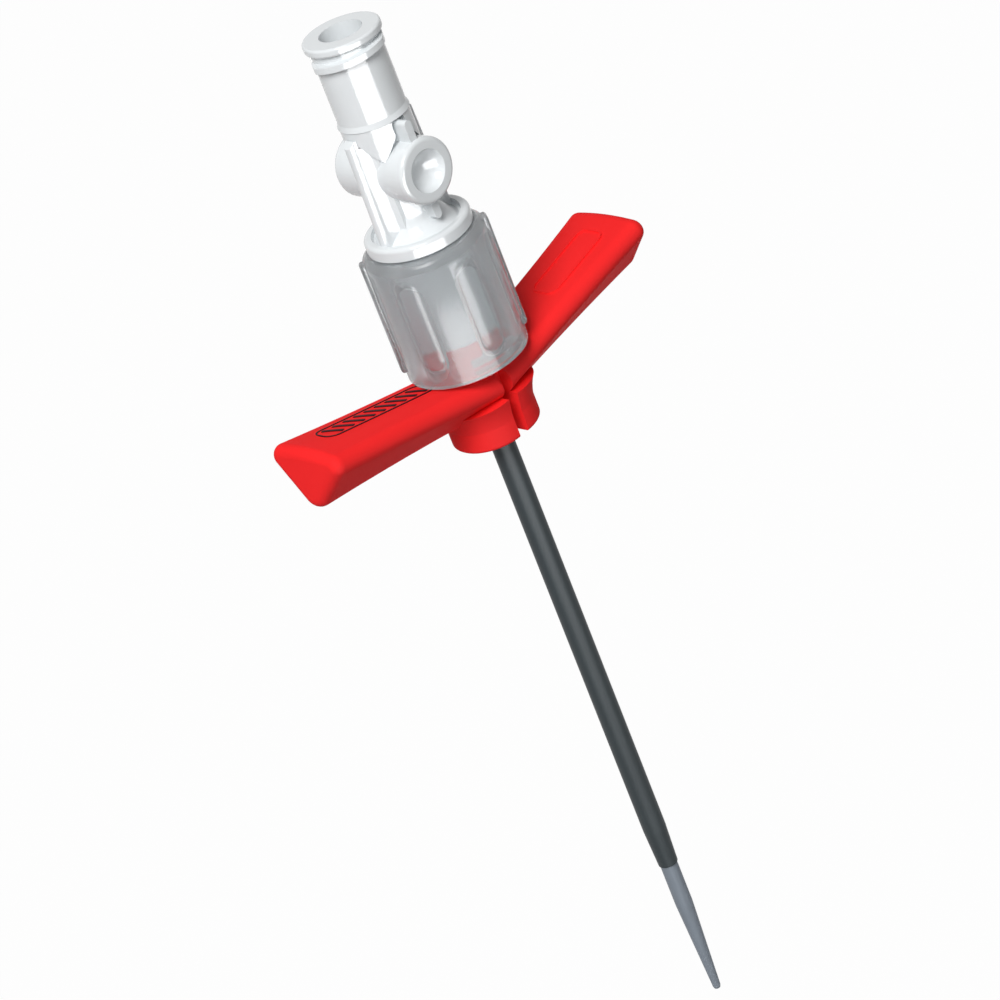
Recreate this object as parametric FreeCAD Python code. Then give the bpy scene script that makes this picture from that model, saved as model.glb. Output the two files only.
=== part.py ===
"""Tear-away vascular access sheath with its dilator locked in, in millimetres.

The axis of the shaft is Z, and +Z points to the luer. The origin is the centre of the hub's lower
face, where the sheath tube comes out. The wings lie along X and the finger bosses along Y.
"""
import FreeCAD, Part
import math
import os

V = FreeCAD.Vector
X, Y, Z = V(1, 0, 0), V(0, 1, 0), V(0, 0, 1)
ORIGIN = V(0, 0, 0)
PAST = 1.0  # how far a cutter runs past the face that it cuts

# Shaft: a 5 French sheath over its dilator, with a lumen for a 0.018 inch guidewire
SHEATH_R = 1.22
SHEATH_WALL = 0.25
SHEATH_LENGTH = 53.7
SHEATH_TIP_TAPER = 4.5
SHEATH_TIP_R = 1.04
DILATOR_CLEARANCE = 0.05
DILATOR_PROUD = 16.8
DILATOR_TAPER = 11.4
DILATOR_TIP_R = 0.42
DILATOR_TIP_EDGE = 0.08
DILATOR_TIP_EDGE_LENGTH = 0.25
LUMEN_R = 0.26
BOND_CLEARANCE = 0.01
TEAR_GAP = 0.04

# Hub that splits, one half on each side of the plane X = 0
BOSS_HALF_X = 4.6
BOSS_HALF_Y = 4.1
BOSS_CORNER = 4.0
BOSS_FLARE_X = 0.7
BOSS_FLARE_Y = 0.4
BOSS_FLARE_SHAPE = 0.35
BOSS_HEIGHT = 4.4
BOSS_EDGE = 0.35
GROOVE_WIDTH = 1.2
GROOVE_CORE = 1.75
TAB_LENGTH = 6.0
TAB_FLARE = 0.2
NECK_R = 2.75
NECK_TOP = 15.0
TAPER_MOUTH_R = 2.15
TAPER_PER_SIDE = 0.03
TAPER_SHARE = 0.5
TAPER_CLEARANCE = 0.03
EAR_R = 4.1
EAR_HEIGHT = 1.0
EAR_ABOVE_COLLAR = 2.3
EAR_HALF_ANGLE = 14.0

# Wings, as sections across them at even distances from the axis
WING_REACH = 21.75
WING_LEAN = 1.1
WING_TOP_CENTRE = 7.0
WING_RISE_SLOPE = 0.208
WING_RISE_CURVE = 0.0004
WING_APEX_CENTRE = 1.85
WING_APEX_SLOPE = 0.162
WING_APEX_CURVE = 0.0014
WING_HALF_WIDTH = 6.2
WING_WAIST = 0.36
WING_CROWN = 0.64
WING_EDGE = 1.2
WING_KEEL = 1.75
WING_END_ROUND = 1.0
WING_STATIONS = 3

# Locking collar
COLLAR_BOTTOM = 8.5
COLLAR_HEIGHT = 13.4
COLLAR_R = 6.1
COLLAR_BORE = 5.1
COLLAR_WEB = 1.5
COLLAR_TOP_EDGE = 0.6
FLUTE_COUNT = 6
FLUTE_HALF_WIDTH = 1.15
FLUTE_DEPTH = 0.6
FLUTE_FLOOR = 1.5
FLUTE_ROOF = 0.9
FLUTE_AZIMUTH = 22.0
LOCK_RIDGE_BORE = 3.5
LOCK_RIDGE_HEIGHT = 0.8
LOCK_RIDGE_HALF_ANGLE = 35.0
LOCK_RIDGE_PLAY = 0.3
GRIP_AZIMUTH = -33.0
GRIP_R = 6.5
GRIP_WIDTH = 1.5
GRIP_LIFT = 1.1
GRIP_EDGE = 0.3
GRIP_ROOT = 0.9
GRIP_TOP = 0.5
GRIP_BEAD_R = 0.55
RUNNING_CLEARANCE = 0.08
DISC_PLAY = 0.1

# Dilator hub
TAPER_TIP_LIFT = 0.4
STEM_R = 3.7
STEM_LIFT = 0.4
SLEEVE_BORE = 3.3
SLEEVE_ABOVE_EAR = 0.4
BEAD_R = 4.4
BEAD_HEIGHT = 0.8
BEAD_LEAD = 0.4
DISC_R = 5.3
DISC_THICKNESS = 1.4
DISC_EDGE = 0.4
TROUGH_R = 4.5
TROUGH_DRAFT = 0.1
TROUGH_DEPTH = 0.45
CORE_R = 2.7
CORE_BORE = 1.0
CORE_FOOT_R = 4.15
CORE_FOOT_HEIGHT = 2.9
DILATOR_SEAT_RISE = 9.5
SEAT_CONE_HEIGHT = 1.2
FINGER_BOSS_RISE = 6.04
FINGER_BOSS_R = 3.23
FINGER_BOSS_WAIST = 2.85
FINGER_BOSS_SWELL = 3.14
FINGER_BOSS_RIM = 0.8
FINGER_BOSS_FACE = 4.95
FINGER_BOSS_EDGE = 0.45
CUP_R = 2.08
CUP_DEPTH = 1.4
FIN_REACH_TOP = 4.3
FIN_REACH_FOOT = 4.6
FIN_THICKNESS = 1.25
FIN_EDGE = 0.55
FIN_ROOT_R = 2.5
FIN_ROOT_HALF = 1.75
FIN_HOLLOW = 0.28
FIN_TOP_SLOPE = 0.5
FIN_TOP_FLAT = 0.15
FIN_TOP_BELOW_BAND = 0.8
RIB_TOP_BELOW_BAND = 0.25
RIB_REACH_TOP = 4.6
RIB_REACH_LOW = 4.0
RIB_LOW_END = 0.9
RIB_THICKNESS = 0.8

# Female luer with its barrel and skirt
BAND_RISE = 11.6
SPIGOT_LENGTH = 1.5
SPIGOT_EDGE = 0.3
PRESS_CLEARANCE = 0.015
BARREL_R = 3.4
SKIRT_R = 3.45
SKIRT_LENGTH = 3.5
SKIRT_AT_FINS = 1.5
SKIRT_NOTCH_HALF = 0.85
SKIRT_NOTCH_STEP = 2.0
BAND_RING = 0.12
BAND_RING_HEIGHT = 0.55
LUER_HEIGHT = 8.86
LUER_MOUTH_R = 2.15
LUER_BORE_DEPTH = 7.5
RIM_R = 3.85
RIM_HEIGHT = 0.85
RIM_ROUND = 0.25
LUG_R = 4.0
LUG_CREST = 0.6
LUG_ROOT = 1.1
LUG_SINK = 0.3
LUG_LEAD = 1.6
LUG_SWEEP = 172.0
LUG_TOP_GAP = 0.05
LUG_FADE = 1.05

# Levels and fits that follow from the sizes above
SHEATH_BORE = SHEATH_R - SHEATH_WALL
TAB_R = SHEATH_R + TAB_FLARE
DILATOR_R = SHEATH_BORE - DILATOR_CLEARANCE
DILATOR_TIP = -SHEATH_LENGTH - DILATOR_PROUD
COLLAR_TOP = COLLAR_BOTTOM + COLLAR_HEIGHT
DISC_BOTTOM = COLLAR_TOP + DISC_PLAY
DISC_TOP = DISC_BOTTOM + DISC_THICKNESS
TROUGH = DISC_TOP - TROUGH_DEPTH
STEM_BOTTOM = NECK_TOP + STEM_LIFT
WEB_BOTTOM = COLLAR_TOP - COLLAR_WEB
TAPER_DEPTH = NECK_TOP * TAPER_SHARE
TAPER_BOTTOM = NECK_TOP - TAPER_DEPTH
EAR_BELOW_TOP = NECK_TOP - COLLAR_BOTTOM - EAR_ABOVE_COLLAR
EAR_TOP = NECK_TOP - EAR_BELOW_TOP
EAR_BOTTOM = EAR_TOP - EAR_HEIGHT
RIDGE_TOP = EAR_BOTTOM - LOCK_RIDGE_PLAY
SLEEVE_BOTTOM = EAR_TOP + SLEEVE_ABOVE_EAR
DILATOR_SEAT = DISC_TOP + DILATOR_SEAT_RISE
BOSS_CENTRE = DISC_TOP + FINGER_BOSS_RISE
BAND = DISC_TOP + BAND_RISE
LUER_TOP = BAND + LUER_HEIGHT
FIN_TOP = BAND - FIN_TOP_BELOW_BAND
RIB_TOP = BAND - RIB_TOP_BELOW_BAND
SKIRT_TIP = BAND - SKIRT_LENGTH
SKIRT_SHOULDER = BAND - SKIRT_AT_FINS


def outline(place, points):
    """Face inside (a, b) points. A pair of points in the list is an arc's middle and its end."""
    start = here = place(*points[0])
    edges = []
    for point in points[1:] + points[:1]:
        if isinstance(point[0], tuple):
            through, end = place(*point[0]), place(*point[1])
            edges.append(Part.Arc(here, through, end).toShape())
        else:
            end = place(*point)
            edges.append(Part.makeLine(here, end))
        here = end
    return Part.Face(Part.Wire(edges))


def turned(points):
    """Solid of revolution about the shaft, of (radius, level) points."""
    return outline(lambda radius, level: V(radius, 0, level), points).revolve(ORIGIN, Z, 360)


def rod(radius, low, high):
    return Part.makeCylinder(radius, high - low, V(0, 0, low), Z)


def cone(radius_low, radius_high, low, high):
    return Part.makeCone(radius_low, radius_high, high - low, V(0, 0, low), Z)


def block(half_x, half_y, low, high, centre_x=0):
    return Part.makeBox(2 * half_x, 2 * half_y, high - low, V(centre_x - half_x, -half_y, low))


def spun(shape, degrees):
    copy = shape.copy()
    copy.rotate(ORIGIN, Z, degrees)
    return copy


def facing(side):
    """Turn about the shaft that brings a piece of the positive side to this side."""
    return 0 if side > 0 else 180


def sector(radius, inner, low, high, azimuth, half_angle):
    """Ring segment between two radii, centred on an azimuth."""
    ring = Part.makeCylinder(radius, high - low, V(0, 0, low), Z, 2 * half_angle)
    ring = ring.cut(rod(inner, low - PAST, high + PAST))
    return spun(ring, azimuth - half_angle)


def round_edges(shape, radius, wanted):
    return shape.makeFillet(radius, [edge for edge in shape.Edges if wanted(edge)])


def circle_at(edge, level):
    """True for a circle about the shaft at a level."""
    return isinstance(edge.Curve, Part.Circle) and abs(edge.Curve.Center.z - level) < 1e-6


def taper_radius(level):
    """Radius of the hub's female luer taper at a level."""
    return TAPER_MOUTH_R - TAPER_PER_SIDE * (NECK_TOP - level)


def sheath_tube():
    bottom = -SHEATH_LENGTH
    straight = rod(SHEATH_R, bottom + SHEATH_TIP_TAPER, 0)
    tip = cone(SHEATH_TIP_R, SHEATH_R, bottom, bottom + SHEATH_TIP_TAPER)
    return straight.fuse(tip).removeSplitter().cut(rod(SHEATH_BORE, bottom - PAST, PAST))


def sheath_tab(side):
    """Half of the tube's split and thickened end, which is bonded in one half of the hub."""
    tube = rod(TAB_R, BOND_CLEARANCE, TAB_LENGTH).cut(rod(SHEATH_BORE, -PAST, TAB_LENGTH + PAST))
    half = TAB_R / 2
    return tube.common(block(half, TAB_R, -PAST, TAB_LENGTH + PAST, side * (TEAR_GAP + half)))


def wing_heights(distance):
    """Levels of a wing's top line and of its keel, at a distance from the middle."""
    return (WING_TOP_CENTRE + WING_RISE_SLOPE * distance + WING_RISE_CURVE * distance ** 2,
            WING_APEX_CENTRE + WING_APEX_SLOPE * distance - WING_APEX_CURVE * distance ** 2)


def wing_section(distance):
    """Outline across a wing: crowned top, round edges, and sides that meet in a round keel."""
    top, apex = wing_heights(distance)
    half = WING_HALF_WIDTH - WING_WAIST * math.sin(math.pi * distance / WING_REACH)
    shoulder = top - WING_CROWN
    face = outline(lambda y, z: V(distance, y, z),
                   [(-half, shoulder), ((0, top), (half, shoulder)), (0, apex)])
    bar = face.extrude(X)
    keel = min((edge for edge in bar.Edges if edge.BoundBox.XLength > 0.5),
               key=lambda edge: edge.BoundBox.ZMax)
    bar = bar.makeFillet(WING_KEEL, [keel])
    bar = round_edges(bar, WING_EDGE, lambda edge: edge.BoundBox.XLength > 0.5
                      and abs(edge.BoundBox.ZMax - shoulder) < 1e-3 and edge.BoundBox.ZLength < 1e-3)
    return min(bar.Faces, key=lambda face: face.BoundBox.XMax).OuterWire


def wing_end():
    """Cutter for a wing's end, which leans out towards the keel."""
    top, apex = wing_heights(WING_REACH)
    lean = WING_LEAN / (top - apex)
    face = outline(lambda x, z: V(WING_REACH + x, -WING_HALF_WIDTH, z), [
        (-lean * PAST, top + PAST), (2 * WING_LEAN, top + PAST), (2 * WING_LEAN, apex - PAST),
        (WING_LEAN + lean * PAST, apex - PAST)])
    return face.extrude(V(0, 2 * WING_HALF_WIDTH, 0))


def boss_section(level, flare):
    """Rounded rectangle of the lower boss at a level, with a share of the flare."""
    plate = block(BOSS_HALF_X + flare * BOSS_FLARE_X, BOSS_HALF_Y + flare * BOSS_FLARE_Y, level, level + 1)
    plate = round_edges(plate, BOSS_CORNER, lambda edge: edge.BoundBox.ZLength > 0.5)
    return min(plate.Faces, key=lambda face: face.CenterOfMass.z).OuterWire


def lower_boss():
    """Boss round the tube, straight below and flared where it runs into the wings."""
    middle = BOSS_HEIGHT / 2
    straight = Part.Face(boss_section(0, 0)).extrude(V(0, 0, middle))
    straight = round_edges(straight, BOSS_EDGE, lambda edge: edge.BoundBox.ZMax < 1e-6)
    flare = Part.makeLoft([boss_section(middle, 0), boss_section(middle * 1.5, BOSS_FLARE_SHAPE),
                           boss_section(BOSS_HEIGHT, 1)], True)
    return straight.fuse(flare)


def wing_half(side):
    """One half of the tear-away hub: wing, lower boss, half neck, locking ear and bore."""
    stations = [(WING_REACH + WING_LEAN) * i / (WING_STATIONS - 1) for i in range(WING_STATIONS)]
    wing = Part.makeLoft([wing_section(station) for station in stations], True).cut(wing_end())
    wing = round_edges(wing, WING_END_ROUND, lambda edge: edge.BoundBox.XMin > WING_REACH - WING_LEAN)
    hub = wing.fuse(lower_boss())
    groove = block(GROOVE_WIDTH / 2, WING_HALF_WIDTH, -PAST, NECK_TOP)
    hub = hub.cut(groove.cut(block(GROOVE_WIDTH, GROOVE_CORE, -2 * PAST, NECK_TOP + PAST)))
    hub = hub.fuse(rod(NECK_R, BOSS_HEIGHT, NECK_TOP))
    hub = hub.fuse(sector(EAR_R, NECK_R / 2, EAR_BOTTOM, EAR_TOP, 0, EAR_HALF_ANGLE))
    floor_r = taper_radius(TAPER_BOTTOM)
    bore = rod(TAB_R + BOND_CLEARANCE, -PAST, TAB_LENGTH + BOND_CLEARANCE)
    bore = bore.fuse(cone(SHEATH_BORE + TAPER_CLEARANCE, floor_r, TAB_LENGTH, TAPER_BOTTOM))
    bore = bore.fuse(cone(floor_r, TAPER_MOUTH_R, TAPER_BOTTOM, NECK_TOP))
    keep = block(WING_REACH, WING_REACH, -PAST, NECK_TOP + PAST, TEAR_GAP + WING_REACH)
    return spun(hub.cut(bore).common(keep), facing(side))


def flute(azimuth):
    """Cutter for one groove in the collar's inner wall, with round ends."""
    low = COLLAR_BOTTOM + FLUTE_FLOOR + FLUTE_HALF_WIDTH
    run = WEB_BOTTOM - FLUTE_ROOF - FLUTE_HALF_WIDTH - low
    start = V(COLLAR_BORE - PAST, 0, low)
    depth = FLUTE_DEPTH + PAST
    cutter = Part.makeBox(depth, 2 * FLUTE_HALF_WIDTH, run, start - V(0, FLUTE_HALF_WIDTH, 0))
    for level in (0, run):
        cutter = cutter.fuse(Part.makeCylinder(FLUTE_HALF_WIDTH, depth, start + V(0, 0, level), X))
    return spun(cutter, azimuth)


def grip_rib(azimuth):
    """Straight rib on the collar's outside, with a bead at its foot."""
    low, high = COLLAR_BOTTOM + GRIP_LIFT, COLLAR_TOP - GRIP_TOP
    corner = V(GRIP_R - GRIP_ROOT, -GRIP_WIDTH / 2, low)
    rib = Part.makeBox(GRIP_ROOT, GRIP_WIDTH, high - low, corner)
    rib = round_edges(rib, GRIP_EDGE, lambda edge: edge.BoundBox.XMin > GRIP_R - 1e-6)
    bead = Part.makeSphere(GRIP_BEAD_R, V(GRIP_R - GRIP_BEAD_R, -GRIP_WIDTH / 2, low + GRIP_BEAD_R))
    return spun(rib.fuse(bead), azimuth)


def locking_collar():
    shell = rod(COLLAR_R, COLLAR_BOTTOM, COLLAR_TOP)
    shell = shell.makeChamfer(COLLAR_TOP_EDGE, [edge for edge in shell.Edges if circle_at(edge, COLLAR_TOP)])
    for turn in (0, 180):
        shell = shell.fuse(grip_rib(GRIP_AZIMUTH + turn))
    shell = shell.cut(rod(COLLAR_BORE, COLLAR_BOTTOM - PAST, WEB_BOTTOM))
    shell = shell.cut(rod(STEM_R + RUNNING_CLEARANCE, WEB_BOTTOM - PAST, COLLAR_TOP + PAST))
    for i in range(FLUTE_COUNT):
        shell = shell.cut(flute(FLUTE_AZIMUTH + 360 / FLUTE_COUNT * i))
    root_r = COLLAR_BORE + FLUTE_DEPTH / 2
    ridge_bottom = RIDGE_TOP - LOCK_RIDGE_HEIGHT
    ridge = sector(root_r, LOCK_RIDGE_BORE, ridge_bottom, RIDGE_TOP, 90, LOCK_RIDGE_HALF_ANGLE)
    return shell.fuse([ridge, spun(ridge, 180)])


def hub_core():
    """Turned part of the dilator hub: male taper, stem, snap bead, disc, flared foot and core."""
    tip = TAPER_BOTTOM + TAPER_TIP_LIFT
    bead_top = WEB_BOTTOM - DISC_PLAY
    bead_bottom = bead_top - BEAD_HEIGHT
    spread = CORE_FOOT_R - CORE_R
    sweep_r = (spread ** 2 + CORE_FOOT_HEIGHT ** 2) / (2 * spread)
    half_sweep = math.asin(CORE_FOOT_HEIGHT / sweep_r) / 2
    foot_top = TROUGH + CORE_FOOT_HEIGHT
    sweep_middle = (CORE_R + sweep_r * (1 - math.cos(half_sweep)), foot_top - sweep_r * math.sin(half_sweep))
    spigot_top = BAND + SPIGOT_LENGTH
    corner = DISC_EDGE * (1 - math.sqrt(0.5))
    return turned([
        (0, tip), (taper_radius(tip) - TAPER_CLEARANCE, tip),
        (taper_radius(STEM_BOTTOM) - TAPER_CLEARANCE, STEM_BOTTOM), (SLEEVE_BORE, STEM_BOTTOM),
        (SLEEVE_BORE, SLEEVE_BOTTOM), (STEM_R, SLEEVE_BOTTOM),
        (STEM_R, bead_bottom - BEAD_LEAD), (BEAD_R, bead_bottom), (BEAD_R, bead_top), (STEM_R, bead_top),
        (STEM_R, DISC_BOTTOM), (DISC_R - corner, DISC_BOTTOM), (DISC_R, DISC_BOTTOM + corner),
        (DISC_R, DISC_TOP - DISC_EDGE),
        ((DISC_R - corner, DISC_TOP - corner), (DISC_R - DISC_EDGE, DISC_TOP)), (TROUGH_R, DISC_TOP),
        (TROUGH_R - TROUGH_DRAFT, TROUGH), (CORE_FOOT_R, TROUGH), (sweep_middle, (CORE_R, foot_top)),
        (CORE_R, spigot_top - SPIGOT_EDGE), (CORE_R - SPIGOT_EDGE, spigot_top), (0, spigot_top)])


def finger_boss(side):
    """Half of the round barrel that crosses the hub, with a finger face at its end."""
    face, edge, mouth = FINGER_BOSS_FACE, FINGER_BOSS_EDGE, FINGER_BOSS_R
    corner = edge * (1 - math.sqrt(0.5))
    rim = face - FINGER_BOSS_RIM
    boss = outline(lambda y, radius: V(0, y, radius), [
        (0, 0), (0, FINGER_BOSS_WAIST), ((rim / 2, FINGER_BOSS_SWELL), (rim, mouth)), (face - edge, mouth),
        ((face - corner, mouth - corner), (face, mouth - edge)), (face, 0)]).revolve(ORIGIN, Y, 360)
    boss.translate(V(0, 0, BOSS_CENTRE))
    return spun(boss, facing(side))


def finger_cup(side):
    """Cutter for the hollow that a fingertip presses in."""
    sphere_r = (CUP_R ** 2 + CUP_DEPTH ** 2) / (2 * CUP_DEPTH)
    return Part.makeSphere(sphere_r, V(0, side * (FINGER_BOSS_FACE - CUP_DEPTH + sphere_r), BOSS_CENTRE))


def fin(side):
    """Tall fin on the wing side of the hub, which spreads into the core in two hollow curves."""
    half, root, reach = FIN_THICKNESS / 2, FIN_ROOT_HALF, FIN_REACH_FOOT
    bend_x = FIN_ROOT_R + FIN_HOLLOW * (reach - FIN_ROOT_R)
    bend_y = half + FIN_HOLLOW * (root - half)
    body = outline(lambda x, y: V(x, y, TROUGH), [
        (0, -root), (FIN_ROOT_R, -root), ((bend_x, -bend_y), (reach, -half)), (reach, half),
        ((bend_x, bend_y), (FIN_ROOT_R, root)), (0, root)]).extrude(V(0, 0, FIN_TOP - TROUGH))
    side_view = outline(lambda x, z: V(x, -root, z), [
        (0, TROUGH), (reach, TROUGH), (FIN_REACH_TOP, FIN_TOP - FIN_TOP_SLOPE),
        (SKIRT_R + FIN_TOP_FLAT, FIN_TOP), (0, FIN_TOP)]).extrude(V(0, 2 * root, 0))
    body = round_edges(body.common(side_view), FIN_EDGE, lambda edge: edge.BoundBox.ZLength > FIN_ROOT_HALF
                       and edge.BoundBox.XMin > SKIRT_R)
    return spun(body, facing(side))


def rib(side):
    """Rib above a finger boss with a round top, and a shorter one below with a round lower end."""
    half = RIB_THICKNESS / 2
    ends = ((RIB_TOP - half, RIB_REACH_TOP), (DISC_TOP + RIB_LOW_END + half, RIB_REACH_LOW))
    plates = []
    for level, reach in ends:
        low, high = sorted((level, BOSS_CENTRE))
        plates.append(Part.makeBox(RIB_THICKNESS, reach, high - low, V(-half, 0, low)))
        plates.append(Part.makeCylinder(half, reach, V(0, 0, level), Y))
    return spun(plates[0].fuse(plates[1:]), facing(side))


def skirt_notch(at_rib, margin=0.0):
    """Cutter for the skirt's lower edge about a fin, or about the rib that it arches over."""
    half = (SKIRT_R + 2 * margin) * math.sqrt(0.5)
    below = SKIRT_TIP - SKIRT_LENGTH
    arch = RIB_TOP + SKIRT_NOTCH_HALF - RIB_THICKNESS / 2
    points = [(half, SKIRT_TIP), (half, below), (-half, below), (-half, SKIRT_TIP)]
    if at_rib:
        step, spring = SKIRT_TIP + SKIRT_NOTCH_STEP, arch - SKIRT_NOTCH_HALF
        points += [(-SKIRT_NOTCH_HALF, step), (-SKIRT_NOTCH_HALF, spring),
                   ((0, arch), (SKIRT_NOTCH_HALF, spring)), (SKIRT_NOTCH_HALF, step)]
    else:
        points += [(-SKIRT_NOTCH_HALF, SKIRT_SHOULDER), (SKIRT_NOTCH_HALF, SKIRT_SHOULDER)]
    face = outline(lambda y, z: V(CORE_R / 2, y, z - margin), points)
    return face.extrude(V(2 * SKIRT_R, 0, 0))


def skirt_notches(margin=0.0):
    return [spun(skirt_notch(quarter % 2 == 1, margin), 90 * quarter) for quarter in range(4)]


def hub_body():
    clear_r = SKIRT_R + RUNNING_CLEARANCE
    body = hub_core().fuse([fin(1), fin(-1)])
    body = body.cut(rod(clear_r, SKIRT_SHOULDER - RUNNING_CLEARANCE, FIN_TOP + PAST)
                    .cut(rod(CORE_R, SKIRT_TIP, BAND + PAST)))
    body = body.fuse([finger_boss(1), rib(1), finger_boss(-1), rib(-1)])
    tongue_room = rod(clear_r, SKIRT_TIP - RUNNING_CLEARANCE, BAND)
    tongue_room = tongue_room.cut(rod(CORE_R, SKIRT_TIP - PAST, BAND + PAST))
    for notch in skirt_notches(2 * RUNNING_CLEARANCE):
        tongue_room = tongue_room.cut(notch)
    cone_top = DILATOR_SEAT + SEAT_CONE_HEIGHT
    return body.cut([finger_cup(1), finger_cup(-1), tongue_room,
                     rod(DILATOR_R + BOND_CLEARANCE, 0, DILATOR_SEAT),
                     cone(2 * LUMEN_R, CORE_BORE, DILATOR_SEAT, cone_top),
                     rod(CORE_BORE, cone_top, BAND + SPIGOT_LENGTH + PAST)])


def dilator_tube():
    shoulder = DILATOR_TIP + DILATOR_TAPER
    return turned([(LUMEN_R, DILATOR_TIP), (DILATOR_TIP_R - DILATOR_TIP_EDGE, DILATOR_TIP),
                   (DILATOR_TIP_R, DILATOR_TIP + DILATOR_TIP_EDGE_LENGTH), (DILATOR_R, shoulder),
                   (DILATOR_R, DILATOR_SEAT), (LUMEN_R, DILATOR_SEAT)])


def luer_lug(start_azimuth):
    """One start of the luer thread: a short helical ridge under the rim, fading at its ends."""
    rise = LUG_LEAD * LUG_SWEEP / 360
    root, crest, inner = LUG_ROOT / 2, LUG_CREST / 2, BARREL_R - LUG_SINK
    low = LUER_TOP - RIM_HEIGHT - LUG_TOP_GAP - root - rise
    helix = Part.makeHelix(LUG_LEAD, rise, BARREL_R)
    helix.translate(V(0, 0, low))
    profile = outline(lambda radius, level: V(radius, 0, low + level),
                      [(inner, -root), (LUG_R, -crest), (LUG_R, crest), (inner, root)])
    ridge = Part.Wire(helix.Edges).makePipeShell([profile.OuterWire], True, True)
    fade = rod(math.hypot(BARREL_R, LUG_FADE), low - PAST, LUER_TOP)
    fade.translate(V(LUG_FADE, 0, 0))
    return spun(ridge.common(spun(fade, LUG_SWEEP / 2)), start_azimuth)


def luer_barrel():
    rim_bottom = LUER_TOP - RIM_HEIGHT
    rim = round_edges(rod(RIM_R, rim_bottom, LUER_TOP), RIM_ROUND,
                      lambda edge: circle_at(edge, LUER_TOP) or circle_at(edge, rim_bottom))
    barrel = rod(SKIRT_R, SKIRT_TIP, BAND).cut(skirt_notches())
    barrel = barrel.fuse([rod(BARREL_R, BAND, LUER_TOP), rim,
                          cone(SKIRT_R + BAND_RING, BARREL_R, BAND, BAND + BAND_RING_HEIGHT),
                          luer_lug(GRIP_AZIMUTH), luer_lug(GRIP_AZIMUTH + 180)])
    socket_bottom = LUER_TOP - LUER_BORE_DEPTH
    socket_r = LUER_MOUTH_R - TAPER_PER_SIDE * LUER_BORE_DEPTH
    press_r = CORE_R + PRESS_CLEARANCE
    press_top = BAND + SPIGOT_LENGTH + PRESS_CLEARANCE
    press_edge = press_top - SPIGOT_EDGE
    return barrel.cut([cone(socket_r, LUER_MOUTH_R, socket_bottom, LUER_TOP),
                       rod(CORE_BORE, SKIRT_TIP, LUER_TOP), rod(press_r, SKIRT_TIP - PAST, press_edge),
                       cone(press_r, press_r - SPIGOT_EDGE, press_edge, press_top)])


os.makedirs("parts", exist_ok=True)
nodes = {
    "sheath_tube": sheath_tube(),
    "left_sheath_tab": sheath_tab(-1),
    "right_sheath_tab": sheath_tab(1),
    "left_wing": wing_half(-1),
    "right_wing": wing_half(1),
    "locking_collar": locking_collar(),
    "hub_body": hub_body(),
    "dilator_tube": dilator_tube(),
    "luer_barrel": luer_barrel(),
}
for name, shape in nodes.items():
    shape = shape.removeSplitter()
    shape.exportStep(f"parts/{name}.step")
    box = shape.BoundBox
    print(f"{name:18s} solids {len(shape.Solids)} valid {shape.isValid()} volume {shape.Volume:8.2f} "
          f"x {box.XMin:.2f}..{box.XMax:.2f} y {box.YMin:.2f}..{box.YMax:.2f} "
          f"z {box.ZMin:.2f}..{box.ZMax:.2f}")
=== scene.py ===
"""Tear-away vascular access sheath: finishes, wing marks and a plain studio, in metres."""
import math

import bmesh
import bpy
from mathutils import Matrix, Vector
from mathutils.bvhtree import BVHTree


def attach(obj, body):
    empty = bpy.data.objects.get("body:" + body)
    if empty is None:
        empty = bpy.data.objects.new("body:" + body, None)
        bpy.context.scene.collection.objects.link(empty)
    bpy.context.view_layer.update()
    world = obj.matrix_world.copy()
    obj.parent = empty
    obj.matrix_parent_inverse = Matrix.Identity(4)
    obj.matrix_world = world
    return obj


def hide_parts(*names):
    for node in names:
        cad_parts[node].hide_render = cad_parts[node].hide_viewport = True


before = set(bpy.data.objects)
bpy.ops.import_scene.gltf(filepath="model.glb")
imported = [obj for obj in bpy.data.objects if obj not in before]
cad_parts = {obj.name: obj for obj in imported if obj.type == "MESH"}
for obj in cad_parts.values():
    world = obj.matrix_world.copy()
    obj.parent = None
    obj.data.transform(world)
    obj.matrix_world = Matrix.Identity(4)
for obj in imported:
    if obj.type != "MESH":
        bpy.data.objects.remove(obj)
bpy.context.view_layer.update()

bl_info = {
    "name": "Vascular Access Sheath",
    "version": (1, 0, 0),
    "blender": (4, 5, 0),
    "location": "View3D > Sidebar > Access Sheath",
    "description": "Finishes and small details of a tear-away vascular access sheath",
    "category": "Object",
}

MM = 0.001

# Cells per metre of each noise
CLOUD_SCALE = 220.0
WHITE_GRAIN_SCALE = 5200.0
FLOW_SCALE = 90.0
RED_GRAIN_SCALE = 3800.0
# random mottling of the painted shade on the left wing's marks
SHADE_MOTTLE_SCALE = 900.0
HAZE_SCALE = 260.0
DRAWN_LINES_SCALE = 2600.0
FLOOR_PAINT_SCALE = 3.0

# Sockets of a Mix node that mixes colours
MIX_FIRST, MIX_SECOND, MIX_RESULT = 6, 7, 2

WHITE = (1.0, 1.0, 1.0, 1.0)
FLOOR_DARK = (0.34, 0.34, 0.34)
FLOOR_LIGHT = (0.36, 0.36, 0.36)
FLOOR_RADIUS = 3.0

WELD = 1e-7  # vertices closer than this are one
ABOVE_ALL = 0.1  # height from which a mark is lowered onto its wing
LONGEST_EDGE = 0.0005  # of a mark, so that it follows the wing's curve
CUT_ROUNDS = 6
FRAME_CORNER = 0.4  # corner radius of the left wing's frame, over its width
PANEL_CORNER = 0.3  # the same for the right wing's outline
BAR_SWELL = 1.15  # a bar's height above its flat back, over its half depth

KEY_DISTANCE = 0.6
STRIP_DISTANCE = 0.2
LAMP_SIZE = 0.26
LAMP_TARGET = (0, 0, -0.01)
SENSOR_WIDTH = 36.0
NEAREST_SEEN = 0.01


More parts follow.
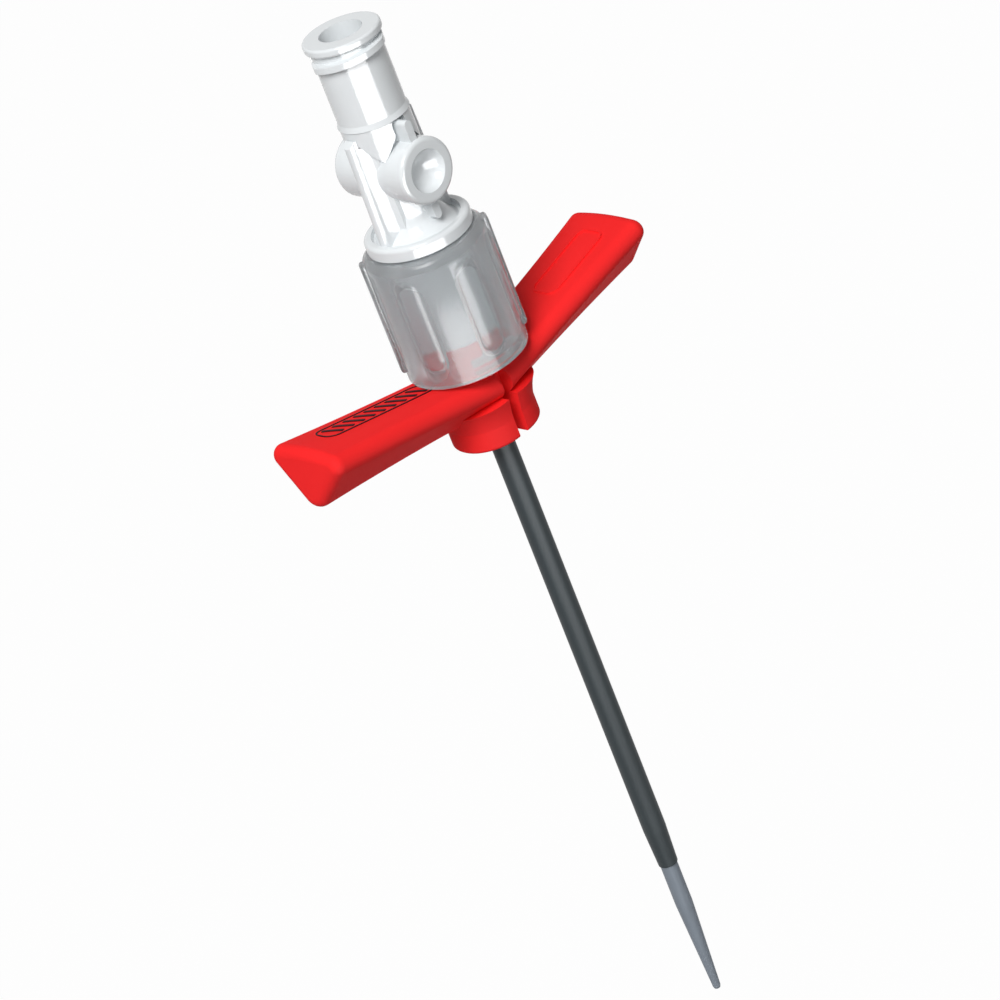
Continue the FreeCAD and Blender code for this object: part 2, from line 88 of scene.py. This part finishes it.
def colour(name, description, default):
    return bpy.props.FloatVectorProperty(name=name, description=description, default=default, size=3,
                                         min=0.0, max=1.0, subtype="COLOR")


def length(name, description, default_mm):
    return bpy.props.FloatProperty(name=name, description=description, default=default_mm * MM,
                                   precision=5, subtype="DISTANCE", unit="LENGTH")


def share(name, description, default):
    return bpy.props.FloatProperty(name=name, description=description, default=default, min=0.0, max=1.0,
                                   subtype="FACTOR")


def angle(name, description, default_degrees):
    return bpy.props.FloatProperty(name=name, description=description, default=math.radians(default_degrees),
                                   subtype="ANGLE", unit="ROTATION")


def watts(name, description, default):
    return bpy.props.FloatProperty(name=name, description=description, default=default, min=0.0)


def count(name, description, default, most):
    return bpy.props.IntProperty(name=name, description=description, default=default, min=1, max=most)


class SHEATH_PG_finishes(bpy.types.PropertyGroup):
    """Colours and gloss of the plastics."""

    hub: colour("Hub", "White moulding of the hub and the luer", (0.76, 0.79, 0.805))
    wing: colour("Wings", "Red moulding of the tear-away hub", (0.97, 0.024, 0.025))
    # painted shade: the mark colour darkens the raised frame and bars on the left wing in place of the shade
    # of engraved lines
    mark: colour("Wing marks", "Shaded lines of the frame and bars on the left wing", (0.03, 0.004, 0.006))
    collar: colour("Collar", "Clear smoky moulding of the locking collar", (0.61, 0.635, 0.65))
    sheath: colour("Sheath tube", "Dark grey tube", (0.04, 0.05, 0.055))
    dilator: colour("Dilator tube", "Grey-blue tube of the tapered tip", (0.24, 0.275, 0.32))
    hub_roughness: share("Hub roughness", "Roughness of the white moulding", 0.12)
    wing_roughness: share("Wing roughness", "Roughness of the red moulding", 0.62)
    wing_reflection: share("Wing reflection", "Strength of the red moulding's reflections", 0.04)
    hub_reflection: share("Hub reflection", "Strength of the white moulding's reflections", 0.5)
    collar_roughness: share("Collar roughness", "Haze of the clear moulding", 0.22)
    collar_reflection: share("Collar reflection", "Strength of the clear moulding's reflections", 0.03)
    collar_clear: share("Clear share", "Share of the light that passes through the clear moulding", 0.77)
    tube_reflection: share("Tube reflection", "Strength of the tubes' reflections", 0.15)
    tube_roughness: share("Tube roughness", "Roughness of the drawn tubes", 0.42)


class SHEATH_PG_collar(bpy.types.PropertyGroup):
    """Sizes of the raised bars round the clear collar."""

    bar_count: count("Bars", "Raised bars round the collar", 6, 12)
    first: angle("First bar", "Turn of the first bar round the shaft", 22)
    bar_bottom: length("Bar bottom", "Lower end of each bar", 10.4)
    bar_top: length("Bar top", "Upper end of each bar", 20.6)
    bar_width: length("Bar width", "Width of each bar", 2.5)
    bar_reach: length("Bar reach", "Distance of each bar's crest from the shaft", 6.3)
    bar_root: length("Bar root", "Distance of each bar's flat back from the shaft", 5.85)


class SHEATH_PG_marks(bpy.types.PropertyGroup):
    """Sizes of the plain marks on the wings."""

    frame_centre: length("Frame centre", "Distance of the frame's centre from the shaft", 11.75)
    frame_across: length("Frame offset", "Distance of the frame's centre from the wing's middle line", 0.85)
    frame_length: length("Frame length", "Length of the frame along the wing", 13.4)
    frame_width: length("Frame width", "Width of the frame across the wing", 3.0)
    line_width: length("Line width", "Width of the frame's line", 0.16)
    line_height: length("Line height", "Height of the marks above the wing", 0.08)
    bar_count: count("Bars", "Slanted bars inside the frame", 9, 20)
    bar_length: length("Bar length", "Length of each bar", 2.2)
    bar_width: length("Bar width", "Width of each bar", 0.42)
    panel_centre: length("Panel centre", "Distance of the right wing's outline from the shaft", 14.6)
    panel_across: length("Panel offset", "Distance of the outline from the middle line, to the front", 0.6)
    panel_length: length("Panel length", "Length of the raised outline on the right wing", 8.6)
    panel_width: length("Panel width", "Width of the raised outline", 3.4)
    panel_height: length("Panel height", "Height of the raised outline", 0.16)
    bar_slant: angle("Bar slant", "Turn of the bars from straight across", 28)


class SHEATH_PG_stage(bpy.types.PropertyGroup):
    """Camera and lights."""

    camera_place: bpy.props.FloatVectorProperty(name="Camera place", description="Where the camera stands",
                                                default=(-0.19834, -0.28326, 0.17401), size=3,
                                                subtype="TRANSLATION", unit="LENGTH")
    azimuth: angle("Azimuth", "Camera's turn round the shaft", -34.62)
    elevation: angle("Elevation", "Camera's angle above the horizon", 27.68)
    roll: angle("Roll", "Camera's turn about its own line of sight", -21.71)
    lens: bpy.props.FloatProperty(name="Lens", description="Focal length on a 36 mm sensor, in millimetres",
                                  default=144.0, min=1.0)
    floor_level: length("Floor level", "Height of the pale floor", -110.0)
    key_light: watts("Key light", "Power of the large light, in watts", 3.3)
    key_azimuth: angle("Key azimuth", "Side that the large light comes from", -142)
    key_elevation: angle("Key elevation", "Large light above the horizon", 47)
    strip_light: watts("Strip light", "Power of the low light that only the gloss shows, in watts", 2.3)
    strip_azimuth: angle("Strip azimuth", "Side that the low light comes from", -117)
    strip_elevation: angle("Strip elevation", "Low light above the horizon, or below it if negative", -24)
    sky: share("Sky light", "Even light from all round", 0.22)
    floor_white: share("White floor", "Share of plain white in the floor that the camera sees", 0.98)


def settings():
    return bpy.context.scene.access_sheath


def add_node(tree, kind, inputs=(), **values):
    """Shader node with its inputs set, or joined where they are sockets."""
    node = tree.nodes.new(kind)
    for name, value in values.items():
        setattr(node, name, value)
    for name, value in dict(inputs).items():
        if isinstance(value, bpy.types.NodeSocket):
            tree.links.new(value, node.inputs[name])
        else:
            node.inputs[name].default_value = value
    return node


def directly_seen(tree):
    """1 for what the camera sees, also in gloss and through clear plastic, and 0 for the rest."""
    path = add_node(tree, "ShaderNodeLightPath")
    seen = path.outputs["Is Camera Ray"]
    for ray in ("Is Glossy Ray", "Is Transmission Ray"):
        seen = add_node(tree, "ShaderNodeMath", {0: seen, 1: path.outputs[ray]},
                        operation="MAXIMUM").outputs[0]
    return seen


def scaled(rgb, factor):
    return tuple(min(1.0, value * factor) for value in rgb)


class Nodes:
    """Short way to make a material from shader nodes."""

    def __init__(self, name):
        self.material = bpy.data.materials.new(name)
        self.material.use_nodes = True
        self.tree = self.material.node_tree
        self.shader = self.tree.nodes["Principled BSDF"]

    def add(self, kind, inputs=(), **values):
        return add_node(self.tree, kind, inputs, **values)

    def link(self, output, name):
        self.tree.links.new(output, self.shader.inputs[name])

    def set(self, **values):
        for name, value in values.items():
            self.shader.inputs[name.replace("_", " ")].default_value = value

    def noise(self, cells, stretch=(1, 1, 1)):
        """Noise on the Object coordinates, drawn out where the stretch is below 1."""
        where = self.add("ShaderNodeTexCoord").outputs["Object"]
        where = self.add("ShaderNodeMapping", {"Vector": where, "Scale": stretch}).outputs["Vector"]
        return self.add("ShaderNodeTexNoise", {"Vector": where, "Scale": cells, "Detail": 3.0,
                                               "Roughness": 0.5}).outputs["Fac"]

    def paint(self, value, dark, light):
        """Base colour between two, by a 0 to 1 value."""
        mix = self.add("ShaderNodeMix", data_type="RGBA")
        self.tree.links.new(value, mix.inputs[0])
        mix.inputs[MIX_FIRST].default_value = (*dark, 1.0)
        mix.inputs[MIX_SECOND].default_value = (*light, 1.0)
        self.link(mix.outputs[MIX_RESULT], "Base Color")

    def roughen(self, value, low, high):
        """Roughness between two, by a 0 to 1 value."""
        spread = self.add("ShaderNodeMapRange", {"Value": value, "To Min": low, "To Max": high})
        self.link(spread.outputs["Result"], "Roughness")

    def bump(self, height, distance):
        bump = self.add("ShaderNodeBump", {"Height": height, "Distance": distance, "Strength": 1.0})
        self.link(bump.outputs["Normal"], "Normal")


def moulded_white():
    """Glossy white hub plastic with a faint moulding texture."""
    finish = settings().finishes
    nodes = Nodes("moulded_white")
    nodes.paint(nodes.noise(CLOUD_SCALE), scaled(finish.hub, 0.97), scaled(finish.hub, 1.03))
    grain = nodes.noise(WHITE_GRAIN_SCALE)
    nodes.roughen(grain, finish.hub_roughness - 0.04, finish.hub_roughness + 0.05)
    nodes.bump(grain, 0.006 * MM)
    nodes.set(IOR=1.49, Specular_IOR_Level=finish.hub_reflection, Subsurface_Weight=0.06,
              Subsurface_Scale=1.5 * MM, Subsurface_Radius=(1.0, 1.0, 1.0))
    return nodes.material


def moulded_red():
    """Satin red wing plastic, with faint flow marks and a fine grain."""
    finish = settings().finishes
    nodes = Nodes("moulded_red")
    flow = nodes.noise(FLOW_SCALE, (1.0, 3.0, 3.0))
    nodes.paint(flow, scaled(finish.wing, 0.93), scaled(finish.wing, 1.06))
    grain = nodes.noise(RED_GRAIN_SCALE)
    nodes.roughen(grain, finish.wing_roughness - 0.04, finish.wing_roughness + 0.06)
    nodes.bump(grain, 0.008 * MM)
    nodes.set(IOR=1.5, Specular_IOR_Level=finish.wing_reflection)
    return nodes.material


def painted_shade_mark():
    """Painted shade: dark red on the raised lines and bars of the left wing, standing in for the shade of
    engraved grooves.
    """
    finish = settings().finishes
    nodes = Nodes("painted_shade_mark")
    # painted shade of engraved lines, mottled at random
    nodes.paint(nodes.noise(SHADE_MOTTLE_SCALE), scaled(finish.mark, 0.7), scaled(finish.mark, 1.5))
    nodes.set(Roughness=0.5, Specular_IOR_Level=finish.wing_reflection)
    return nodes.material


def clear_smoky():
    """Clear collar plastic with a light haze."""
    finish = settings().finishes
    nodes = Nodes("clear_smoky")
    haze = nodes.noise(HAZE_SCALE, (1.0, 1.0, 0.4))
    nodes.paint(haze, scaled(finish.collar, 0.95), scaled(finish.collar, 1.05))
    nodes.roughen(haze, finish.collar_roughness - 0.05, finish.collar_roughness + 0.06)
    nodes.set(IOR=1.45, Specular_IOR_Level=finish.collar_reflection,
              Transmission_Weight=finish.collar_clear)
    return nodes.material


def drawn_tube(name, rgb):
    """Satin extruded plastic with faint lines along the tube."""
    finish = settings().finishes
    nodes = Nodes(name)
    lines = nodes.noise(DRAWN_LINES_SCALE, (1.0, 1.0, 0.03))
    nodes.paint(lines, scaled(rgb, 0.86), scaled(rgb, 1.14))
    nodes.roughen(lines, finish.tube_roughness - 0.06, finish.tube_roughness + 0.08)
    nodes.bump(lines, 0.008 * MM)
    nodes.set(IOR=1.5, Specular_IOR_Level=finish.tube_reflection)
    return nodes.material


def finish_node(name, material):
    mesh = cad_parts[name].data
    mesh.materials.clear()
    mesh.materials.append(material)


def new_piece(name, bm, material):
    """Object from a bmesh, at the origin."""
    mesh = bpy.data.meshes.new(name)
    bm.to_mesh(mesh)
    bm.free()
    mesh.materials.append(material)
    piece = bpy.data.objects.new(name, mesh)
    bpy.context.scene.collection.objects.link(piece)
    return piece


def rounded_bar(bm, sizes, turn):
    """Upright bar with a round crest, round ends and a flat back, on the collar's outside."""
    verts = bmesh.ops.create_uvsphere(bm, u_segments=40, v_segments=20, radius=1.0)["verts"]
    depth = (sizes.bar_reach - sizes.bar_root) / BAR_SWELL
    bmesh.ops.scale(bm, vec=(depth, sizes.bar_width / 2, sizes.bar_width / 2), verts=verts)
    stretch = (sizes.bar_top - sizes.bar_bottom - sizes.bar_width) / 2
    for vert in verts:
        vert.co.z += math.copysign(stretch, vert.co.z) if abs(vert.co.z) > WELD else 0.0
    middle = (sizes.bar_bottom + sizes.bar_top) / 2
    bmesh.ops.translate(bm, vec=(sizes.bar_reach - depth, 0, middle), verts=verts)
    for vert in verts:
        vert.co.x = max(vert.co.x, sizes.bar_root)
    bmesh.ops.rotate(bm, cent=(0, 0, 0), matrix=Matrix.Rotation(turn, 3, "Z"), verts=verts)


def union(context, plain, added):
    """Mesh of both pieces joined, and the two pieces removed."""
    join = plain.modifiers.new("bars", "BOOLEAN")
    join.operation = "UNION"
    join.solver = "EXACT"
    join.object = added
    joined = bmesh.new()
    joined.from_object(plain, context.evaluated_depsgraph_get())
    for piece in (plain, added):
        bpy.data.objects.remove(piece)
    return joined


def cut_long_edges(bm):
    for _ in range(CUT_ROUNDS):
        edges = [edge for edge in bm.edges if edge.calc_length() > LONGEST_EDGE]
        if not edges:
            return
        bmesh.ops.subdivide_edges(bm, edges=edges, cuts=1, use_grid_fill=True)


def thicken(bm, height):
    """Raises the flat faces into a closed layer."""
    raised = bmesh.ops.extrude_face_region(bm, geom=bm.faces[:])["geom"]
    tops = [item for item in raised if isinstance(item, bmesh.types.BMVert)]
    bmesh.ops.translate(bm, vec=(0, 0, height), verts=tops)


def rounded_frame(centre, size, corner, line, height):
    """Raised line along a rounded rectangle."""
    bm = bmesh.new()
    verts = bmesh.ops.create_grid(bm, x_segments=1, y_segments=1, size=0.5)["verts"]
    bmesh.ops.scale(bm, vec=(size[0], size[1], 1), verts=verts)
    bmesh.ops.bevel(bm, geom=verts, offset=corner, segments=8, affect="VERTICES", profile=0.5, material=-1)
    face = bm.faces[:][0]
    bmesh.ops.inset_individual(bm, faces=[face], thickness=line, use_even_offset=True)
    bmesh.ops.delete(bm, geom=[face], context="FACES_ONLY")
    cut_long_edges(bm)
    thicken(bm, height)
    bmesh.ops.translate(bm, vec=(centre[0], centre[1], 0), verts=bm.verts)
    return bm


def slanted_bars(marks, centre):
    """Row of raised bars along the middle of the left wing's frame."""
    bm = bmesh.new()
    row = marks.frame_length - marks.frame_width
    slant = Matrix.Rotation(marks.bar_slant, 3, "Z")
    for i in range(marks.bar_count):
        bar = bmesh.ops.create_grid(bm, x_segments=2, y_segments=8, size=0.5)["verts"]
        bmesh.ops.scale(bm, vec=(marks.bar_width, marks.bar_length, 1), verts=bar)
        bmesh.ops.rotate(bm, cent=(0, 0, 0), matrix=slant, verts=bar)
        along = row * (i / (marks.bar_count - 1) - 0.5)
        bmesh.ops.translate(bm, vec=(centre[0] + along, centre[1], 0), verts=bar)
    thicken(bm, marks.line_height * 2)
    return bm


def draped(name, bm, node, sink, material):
    """Piece from a flat shape that is lowered onto the top of a node, and a little into it."""
    bm_node = bmesh.new()
    bm_node.from_mesh(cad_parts[node].data)
    tree = BVHTree.FromBMesh(bm_node)
    bm_node.free()
    for vert in bm.verts:
        hit = tree.ray_cast(Vector((vert.co.x, vert.co.y, ABOVE_ALL)), Vector((0, 0, -1)))[0]
        if hit is None:
            raise RuntimeError(f"A mark reaches past the edge of {node}")
        vert.co.z += hit.z - sink
    bmesh.ops.recalc_face_normals(bm, faces=bm.faces)
    return new_piece(name, bm, material)


class SHEATH_OT_hub(bpy.types.Operator):
    """Finish the dilator's white hub and luer"""

    bl_idname = "access_sheath.hub"
    bl_label = "Hub and luer"

    def execute(self, context):
        white = moulded_white()
        for node in ("hub_body", "luer_barrel"):
            finish_node(node, white)
        return {"FINISHED"}


class SHEATH_OT_collar(bpy.types.Operator):
    """Finish the clear locking collar and raise the rounded bars round it"""

    bl_idname = "access_sheath.collar"
    bl_label = "Locking collar"

    def execute(self, context):
        sizes = settings().collar
        clear = clear_smoky()
        finish_node("locking_collar", clear)
        bars = bmesh.new()
        for i in range(sizes.bar_count):
            rounded_bar(bars, sizes, sizes.first + math.tau * i / sizes.bar_count)
        bmesh.ops.recalc_face_normals(bars, faces=bars.faces)
        added = new_piece("collar_bars", bars, clear)
        bm = bmesh.new()
        bm.from_mesh(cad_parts["locking_collar"].data)
        bmesh.ops.remove_doubles(bm, verts=bm.verts, dist=WELD)
        plain = new_piece("collar_plain", bm, clear)
        joined = union(context, plain, added)
        shell = new_piece("collar_shell", joined, clear)
        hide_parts("locking_collar")
        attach(shell, "collar")
        return {"FINISHED"}


class SHEATH_OT_tubes(bpy.types.Operator):
    """Finish the sheath tube, its split ends and the dilator tube"""

    bl_idname = "access_sheath.tubes"
    bl_label = "Tubes"

    def execute(self, context):
        finish = settings().finishes
        dark = drawn_tube("drawn_dark_grey", finish.sheath)
        for node in ("sheath_tube", "left_sheath_tab", "right_sheath_tab"):
            finish_node(node, dark)
        finish_node("dilator_tube", drawn_tube("drawn_grey_blue", finish.dilator))
        return {"FINISHED"}


class SHEATH_OT_wings(bpy.types.Operator):
    """Finish the two halves of the red hub"""

    bl_idname = "access_sheath.wings"
    bl_label = "Wings"

    def execute(self, context):
        red = moulded_red()
        for node in ("left_wing", "right_wing"):
            finish_node(node, red)
        return {"FINISHED"}


class SHEATH_OT_marks(bpy.types.Operator):
    """Add the plain frame and slanted bars on the left wing, and the bare outline on the right one"""

    bl_idname = "access_sheath.marks"
    bl_label = "Wing marks"

    def execute(self, context):
        marks = settings().marks
        # the frame and bars carry the painted shade of engraved lines
        dark = painted_shade_mark()
        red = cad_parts["right_wing"].data.materials[0]
        centre = (-marks.frame_centre, marks.frame_across)
        outline = rounded_frame(centre, (marks.frame_length, marks.frame_width),
                                marks.frame_width * FRAME_CORNER, marks.line_width, marks.line_height * 2)
        line = draped("left_wing_frame", outline, "left_wing", marks.line_height, dark)
        bars = draped("left_wing_bars", slanted_bars(marks, centre), "left_wing", marks.line_height, dark)
        outline = rounded_frame((marks.panel_centre, -marks.panel_across),
                                (marks.panel_length, marks.panel_width),
                                marks.panel_width * PANEL_CORNER, marks.line_width, marks.panel_height * 2)
        panel = draped("right_wing_panel", outline, "right_wing", marks.panel_height, red)
        for piece, body in ((line, "left_half"), (bars, "left_half"), (panel, "right_half")):
            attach(piece, body)
        return {"FINISHED"}


class SHEATH_OT_stage(bpy.types.Operator):
    """Build the floor, the lights and the camera"""

    bl_idname = "access_sheath.stage"
    bl_label = "Studio"

    def execute(self, context):
        scene, stage = context.scene, settings().stage
        scene.view_settings.view_transform = "Standard"
        self.world(scene, stage)
        self.floor(stage)
        self.camera(scene, stage)
        self.light(scene, "key_light", stage.key_azimuth, stage.key_elevation, KEY_DISTANCE, stage.key_light)
        strip = self.light(scene, "strip_light", stage.strip_azimuth, stage.strip_elevation, STRIP_DISTANCE,
                           stage.strip_light)
        strip.visible_diffuse = strip.visible_transmission = False
        return {"FINISHED"}

    def world(self, scene, stage):
        """White where it is seen, and a dimmer even light elsewhere."""
        scene.world = scene.world or bpy.data.worlds.new("studio")
        scene.world.use_nodes = True
        tree = scene.world.node_tree
        tree.nodes.clear()
        mix = add_node(tree, "ShaderNodeMixShader", {0: directly_seen(tree)})
        for place, strength in ((1, stage.sky), (2, 1.0)):
            light = add_node(tree, "ShaderNodeBackground", {"Color": WHITE, "Strength": strength})
            tree.links.new(light.outputs[0], mix.inputs[place])
        add_node(tree, "ShaderNodeOutputWorld", {"Surface": mix.outputs[0]})

    def floor(self, stage):
        """Round floor, almost plain white where it is seen, that keeps a little shadow."""
        bm = bmesh.new()
        bmesh.ops.create_circle(bm, cap_ends=True, segments=96, radius=FLOOR_RADIUS)
        bmesh.ops.translate(bm, vec=(0, 0, stage.floor_level), verts=bm.verts)
        nodes = Nodes("pale_floor")
        nodes.set(Roughness=0.9)
        nodes.paint(nodes.noise(FLOOR_PAINT_SCALE), FLOOR_DARK, FLOOR_LIGHT)
        glow = nodes.add("ShaderNodeEmission", {"Color": WHITE, "Strength": 1.0})
        fade = nodes.add("ShaderNodeMath", {0: directly_seen(nodes.tree), 1: stage.floor_white},
                         operation="MULTIPLY")
        mix = nodes.add("ShaderNodeMixShader", {0: fade.outputs[0], 1: nodes.shader.outputs[0],
                                                2: glow.outputs[0]})
        output = nodes.tree.nodes["Material Output"]
        nodes.tree.links.new(mix.outputs[0], output.inputs["Surface"])
        new_piece("floor", bm, nodes.material)

    def camera(self, scene, stage):
        camera = bpy.data.objects.new("camera", bpy.data.cameras.new("camera"))
        camera.data.sensor_width = SENSOR_WIDTH
        camera.data.lens = stage.lens
        camera.data.clip_start = NEAREST_SEEN
        back = Vector((math.sin(stage.azimuth) * math.cos(stage.elevation),
                       -math.cos(stage.azimuth) * math.cos(stage.elevation), math.sin(stage.elevation)))
        right = (-back).cross(Vector((0, 0, 1))).normalized()
        up = back.cross(right)
        turn = Matrix.Rotation(stage.roll, 3, back)
        axes = Matrix((turn @ right, turn @ up, back)).transposed()
        camera.matrix_world = Matrix.Translation(stage.camera_place) @ axes.to_4x4()
        scene.collection.objects.link(camera)
        scene.camera = camera

    def light(self, scene, name, azimuth, elevation, distance, power):
        """Square light that looks at the part from a direction round it."""
        lamp = bpy.data.lights.new(name, "AREA")
        lamp.size = LAMP_SIZE
        lamp.energy = power
        light = bpy.data.objects.new(name, lamp)
        away = Vector((math.cos(azimuth) * math.cos(elevation), math.sin(azimuth) * math.cos(elevation),
                       math.sin(elevation)))
        facing = away.to_track_quat("Z", "Y").to_matrix().to_4x4()
        light.matrix_world = Matrix.Translation(Vector(LAMP_TARGET) + away * distance) @ facing
        scene.collection.objects.link(light)
        return light


class SHEATH_PG_settings(bpy.types.PropertyGroup):
    """All the sizes and colours that can be changed."""

    finishes: bpy.props.PointerProperty(type=SHEATH_PG_finishes, name="Finishes", description="Plastics")
    collar: bpy.props.PointerProperty(type=SHEATH_PG_collar, name="Collar", description="Bars of the collar")
    marks: bpy.props.PointerProperty(type=SHEATH_PG_marks, name="Marks", description="Marks on the wings")
    stage: bpy.props.PointerProperty(type=SHEATH_PG_stage, name="Stage", description="Camera and lights")


class SHEATH_PT_panel(bpy.types.Panel):
    """Lists the steps and their settings."""

    bl_idname = "SHEATH_PT_panel"
    bl_label = "Access Sheath"
    bl_space_type = "VIEW_3D"
    bl_region_type = "UI"
    bl_category = "Access Sheath"

    def draw(self, context):
        for group in (settings().finishes, settings().collar, settings().marks, settings().stage):
            box = self.layout.box()
            for name in group.bl_rna.properties.keys():
                if name not in ("rna_type", "name"):
                    box.prop(group, name)
        for operator in STEPS:
            self.layout.operator(operator.bl_idname)


STEPS = (SHEATH_OT_hub, SHEATH_OT_collar, SHEATH_OT_tubes, SHEATH_OT_wings, SHEATH_OT_marks, SHEATH_OT_stage)
GROUPS = (SHEATH_PG_finishes, SHEATH_PG_collar, SHEATH_PG_marks, SHEATH_PG_stage, SHEATH_PG_settings)
CLASSES = GROUPS + (SHEATH_PT_panel,) + STEPS


def register():
    for cls in CLASSES:
        bpy.utils.register_class(cls)
    bpy.types.Scene.access_sheath = bpy.props.PointerProperty(type=SHEATH_PG_settings)


def unregister():
    del bpy.types.Scene.access_sheath
    for cls in reversed(CLASSES):
        bpy.utils.unregister_class(cls)


def main():
    register()
    bpy.ops.access_sheath.hub()
    bpy.ops.access_sheath.collar()
    bpy.ops.access_sheath.tubes()
    bpy.ops.access_sheath.wings()
    bpy.ops.access_sheath.marks()
    bpy.ops.access_sheath.stage()


if __name__ == "__main__":
    main()
